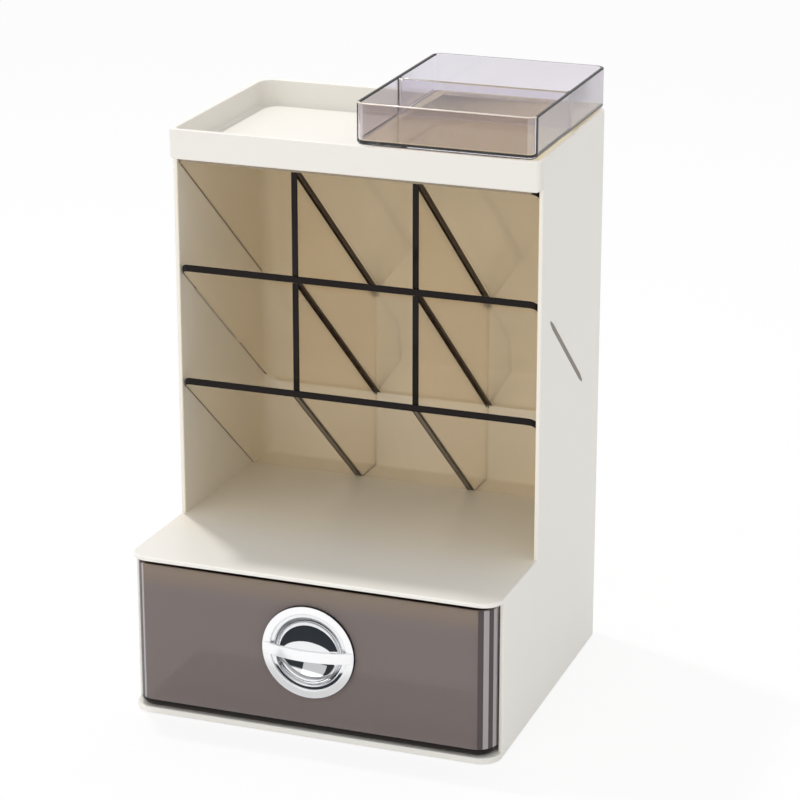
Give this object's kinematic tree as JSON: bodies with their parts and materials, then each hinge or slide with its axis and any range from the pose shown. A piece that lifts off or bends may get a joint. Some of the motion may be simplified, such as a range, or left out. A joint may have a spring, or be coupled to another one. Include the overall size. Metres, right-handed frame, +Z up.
{
  "type": "desktop brush holder with drawer",
  "caption": "Upright case with sloping see-through cells for make-up brushes, a shelf, a pull-out drawer with a round recessed knob, and a sliding box on its top tray.",
  "frame": {"origin": "centre of the footprint of the whole object, at the surface that the foot pads stand on", "axes": "+Z up, the drawer and the brush cells face -Y, +X to the right seen from the front"},
  "size_m": [0.2248, 0.2156, 0.3586],
  "materials": {
    "cream_plastic": "satin moulded plastic",
    "smoke_insert": "see-through smoke plastic, polished",
    "smoke_drawer": "see-through dark smoke plastic, polished",
    "clear_box": "lightly tinted see-through plastic, polished",
    "chrome_plate": "bright plated plastic",
    "screw_steel": "zinc plated",
    "pad_rubber": "matt soft rubber"
  },
  "bodies": {
    "case": {"case_shell": "cream_plastic", "top_tray": "cream_plastic", "ramp_top": "smoke_insert", "ramp_middle": "smoke_insert", "ramp_lower": "smoke_insert", "divider_left": "smoke_insert", "divider_right": "smoke_insert", "foot_pad_front_left": "pad_rubber", "foot_pad_front_right": "pad_rubber", "foot_pad_back_left": "pad_rubber", "foot_pad_back_right": "pad_rubber"},
    "drawer": {"drawer_tray": "smoke_drawer", "knob_ring": "chrome_plate", "knob_cup": "chrome_plate", "knob_grip": "chrome_plate", "knob_screws": "screw_steel"},
    "box": {"sliding_box": "clear_box"},
    "divider": {"box_divider": "clear_box"}
  },
  "joints": [
    {"name": "drawer_slide", "type": "slide", "parent": "case", "child": "drawer", "axis": [0, -1, 0], "range_m": [0, 0.15]},
    {"name": "box_slide", "type": "slide", "parent": "case", "child": "box", "axis": [-1, 0, 0], "range_m": [0, 0.109]},
    {"name": "divider_lift", "type": "slide", "parent": "box", "child": "divider", "axis": [0, 0, 1], "range_m": [0, 0.025]}
  ]
}
